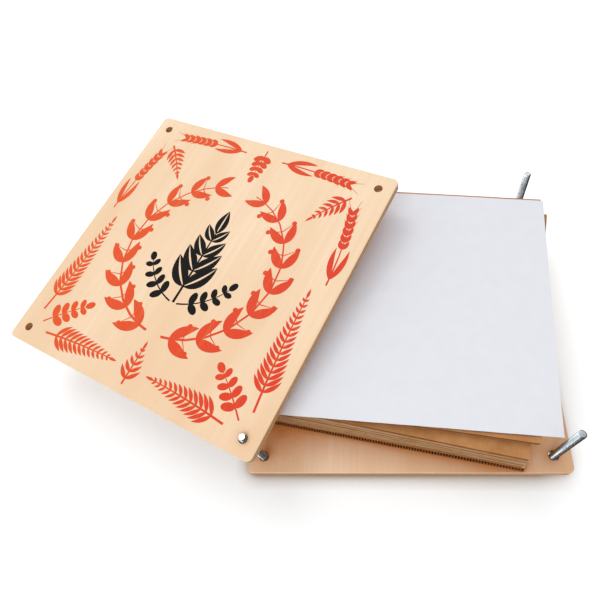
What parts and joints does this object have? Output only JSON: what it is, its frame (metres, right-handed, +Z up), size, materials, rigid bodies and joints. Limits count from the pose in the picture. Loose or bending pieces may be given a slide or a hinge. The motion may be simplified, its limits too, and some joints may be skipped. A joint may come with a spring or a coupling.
{
  "type": "flower press",
  "caption": "Square plywood flower press, opened: printed lid turned aside on a corner bolt over a loose stack of corrugated cards and blotting paper on the bolted base.",
  "frame": {"origin": "middle of the base board's underside, on the table", "axes": "+Z up along the bolts, +Y from the base's front edge to its back edge, +X to the right"},
  "size_m": [0.3853, 0.2783, 0.0754],
  "materials": {
    "base_plywood": "sanded birch plywood, bare",
    "lid_plywood": "sanded birch plywood with a screen print",
    "zinc_bolt": "bright zinc plate",
    "zinc_nut": "bright zinc plate",
    "kraft_card": "kraft corrugated card",
    "blotting_paper": "absorbent uncoated paper",
    "white_paper": "smooth uncoated paper"
  },
  "bodies": {
    "base": {"base_board": "base_plywood"},
    "lid": {"lid_board": "lid_plywood"},
    "bolt_front_left": {"bolt_front_left": "zinc_bolt"},
    "bolt_front_right": {"bolt_front_right": "zinc_bolt"},
    "bolt_back_left": {"bolt_back_left": "zinc_bolt"},
    "bolt_back_right": {"bolt_back_right": "zinc_bolt"},
    "wing_nut_front_left": {"wing_nut_front_left": "zinc_nut"},
    "wing_nut_back_left_upper": {"wing_nut_back_left_upper": "zinc_nut"},
    "wing_nut_back_left_lower": {"wing_nut_back_left_lower": "zinc_nut"},
    "wing_nut_back_right": {"wing_nut_back_right": "zinc_nut"},
    "corrugated_card_1": {"corrugated_card_1": "kraft_card"},
    "blotting_sheet_1": {"blotting_sheet_1": "blotting_paper"},
    "corrugated_card_2": {"corrugated_card_2": "kraft_card"},
    "blotting_sheet_2": {"blotting_sheet_2": "blotting_paper"},
    "corrugated_card_3": {"corrugated_card_3": "kraft_card"},
    "blotting_sheet_3": {"blotting_sheet_3": "blotting_paper"},
    "corrugated_card_4": {"corrugated_card_4": "kraft_card"},
    "blotting_sheet_4": {"blotting_sheet_4": "blotting_paper"},
    "corrugated_card_5": {"corrugated_card_5": "kraft_card"},
    "blotting_sheet_5": {"blotting_sheet_5": "blotting_paper"},
    "corrugated_card_6": {"corrugated_card_6": "kraft_card"},
    "blotting_sheet_6": {"blotting_sheet_6": "blotting_paper"},
    "corrugated_card_7": {"corrugated_card_7": "kraft_card"},
    "blotting_sheet_7": {"blotting_sheet_7": "blotting_paper"},
    "corrugated_card_8": {"corrugated_card_8": "kraft_card"},
    "top_sheet": {"top_sheet": "white_paper"}
  },
  "joints": [
    {"name": "lid_swing", "type": "hinge", "parent": "base", "child": "bolt_front_left", "pos_m": [-0.094, -0.094, 0.03], "axis": [0, 0, 1], "range_deg": [0, 90]},
    {"name": "lid_lift_off", "type": "slide", "parent": "bolt_front_left", "child": "lid", "axis": [0, 0, 1], "range_m": [0, 0.06]},
    {"name": "front_left_nut_travel", "type": "slide", "parent": "bolt_front_left", "child": "wing_nut_front_left", "axis": [0, 0, 1], "range_m": [-0.029, 0]},
    {"name": "front_right_bolt_turn", "type": "hinge", "parent": "base", "child": "bolt_front_right", "pos_m": [0.094, -0.094, 0.03], "axis": [0, 0, 1], "continuous": true},
    {"name": "back_left_nut_turn", "type": "hinge", "parent": "base", "child": "bolt_back_left", "pos_m": [-0.094, 0.094, 0.03], "axis": [0, 0, 1], "range_deg": [-10800, 0]},
    {"name": "back_left_upper_nut_travel", "type": "slide", "parent": "bolt_back_left", "child": "wing_nut_back_left_upper", "axis": [0, 0, 1], "range_m": [-0.024, 0]},
    {"name": "back_left_lower_nut_travel", "type": "slide", "parent": "bolt_back_left", "child": "wing_nut_back_left_lower", "axis": [0, 0, 1], "range_m": [-0.024, 0]},
    {"name": "back_right_nut_turn", "type": "hinge", "parent": "base", "child": "bolt_back_right", "pos_m": [0.094, 0.094, 0.03], "axis": [0, 0, 1], "range_deg": [0, 4320]},
    {"name": "back_right_nut_travel", "type": "slide", "parent": "bolt_back_right", "child": "wing_nut_back_right", "axis": [0, 0, 1], "range_m": [0, 0.0096]},
    {"name": "corrugated_card_1_lift", "type": "slide", "parent": "base", "child": "corrugated_card_1", "axis": [0, 0, 1], "range_m": [0, 0.005]},
    {"name": "blotting_sheet_1_lift", "type": "slide", "parent": "corrugated_card_1", "child": "blotting_sheet_1", "axis": [0, 0, 1], "range_m": [0, 0.005]},
    {"name": "corrugated_card_2_lift", "type": "slide", "parent": "blotting_sheet_1", "child": "corrugated_card_2", "axis": [0, 0, 1], "range_m": [0, 0.005]},
    {"name": "blotting_sheet_2_lift", "type": "slide", "parent": "corrugated_card_2", "child": "blotting_sheet_2", "axis": [0, 0, 1], "range_m": [0, 0.005]},
    {"name": "corrugated_card_3_lift", "type": "slide", "parent": "blotting_sheet_2", "child": "corrugated_card_3", "axis": [0, 0, 1], "range_m": [0, 0.005]},
    {"name": "blotting_sheet_3_lift", "type": "slide", "parent": "corrugated_card_3", "child": "blotting_sheet_3", "axis": [0, 0, 1], "range_m": [0, 0.005]},
    {"name": "corrugated_card_4_lift", "type": "slide", "parent": "blotting_sheet_3", "child": "corrugated_card_4", "axis": [0, 0, 1], "range_m": [0, 0.005]},
    {"name": "blotting_sheet_4_lift", "type": "slide", "parent": "corrugated_card_4", "child": "blotting_sheet_4", "axis": [0, 0, 1], "range_m": [0, 0.005]},
    {"name": "corrugated_card_5_lift", "type": "slide", "parent": "blotting_sheet_4", "child": "corrugated_card_5", "axis": [0, 0, 1], "range_m": [0, 0.005]},
    {"name": "blotting_sheet_5_lift", "type": "slide", "parent": "corrugated_card_5", "child": "blotting_sheet_5", "axis": [0, 0, 1], "range_m": [0, 0.005]},
    {"name": "corrugated_card_6_lift", "type": "slide", "parent": "blotting_sheet_5", "child": "corrugated_card_6", "axis": [0, 0, 1], "range_m": [0, 0.005]},
    {"name": "blotting_sheet_6_lift", "type": "slide", "parent": "corrugated_card_6", "child": "blotting_sheet_6", "axis": [0, 0, 1], "range_m": [0, 0.005]},
    {"name": "corrugated_card_7_lift", "type": "slide", "parent": "blotting_sheet_6", "child": "corrugated_card_7", "axis": [0, 0, 1], "range_m": [0, 0.005]},
    {"name": "blotting_sheet_7_lift", "type": "slide", "parent": "corrugated_card_7", "child": "blotting_sheet_7", "axis": [0, 0, 1], "range_m": [0, 0.005]},
    {"name": "corrugated_card_8_lift", "type": "slide", "parent": "blotting_sheet_7", "child": "corrugated_card_8", "axis": [0, 0, 1], "range_m": [0, 0.005]},
    {"name": "top_sheet_lift", "type": "slide", "parent": "corrugated_card_8", "child": "top_sheet", "axis": [0, 0, 1], "range_m": [0, 0.005]}
  ],
  "couplings": [
    {"joint": "back_left_upper_nut_travel", "follows": "back_left_nut_turn", "m_per_rad": 0.00012732},
    {"joint": "back_left_lower_nut_travel", "follows": "back_left_nut_turn", "m_per_rad": 0.00012732},
    {"joint": "back_right_nut_travel", "follows": "back_right_nut_turn", "m_per_rad": 0.00012732}
  ]
}
